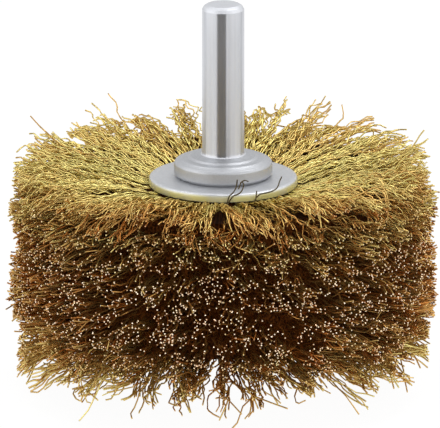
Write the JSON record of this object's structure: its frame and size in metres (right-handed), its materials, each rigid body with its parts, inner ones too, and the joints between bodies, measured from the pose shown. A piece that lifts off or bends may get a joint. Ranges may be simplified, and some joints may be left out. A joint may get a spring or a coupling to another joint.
{
  "type": "wire wheel brush",
  "caption": "Wide wheel brush of crimped brass-coated steel wire on a straight round shank, for texturing wood with a drill.",
  "frame": {"origin": "on the brush axis, in the plane of the lowest wire tips, so the brush stands on z = 0 with the shank up", "axes": "+Z along the shank towards its free end; +X and +Y are radial and alike"},
  "size_m": [0.0994, 0.1, 0.0828],
  "materials": {
    "turned_steel": "fine turned, bright",
    "zinc_plated_steel": "pressed and zinc plated, satin",
    "plain_steel": "plain",
    "brass_coated_wire": "drawn crimped wire with a thin brass coat, bare steel at the cut tips"
  },
  "bodies": {
    "root": {"spindle": "turned_steel", "collar": "turned_steel", "upper_flange": "zinc_plated_steel", "lower_flange": "zinc_plated_steel", "rivet_washer": "zinc_plated_steel", "core_sleeve": "plain_steel", "retaining_ring_1": "plain_steel", "retaining_ring_2": "plain_steel", "retaining_ring_3": "plain_steel", "retaining_ring_4": "plain_steel", "wire_row_1": "brass_coated_wire", "wire_row_2": "brass_coated_wire", "wire_row_3": "brass_coated_wire", "wire_row_4": "brass_coated_wire"}
  },
  "joints": []
}
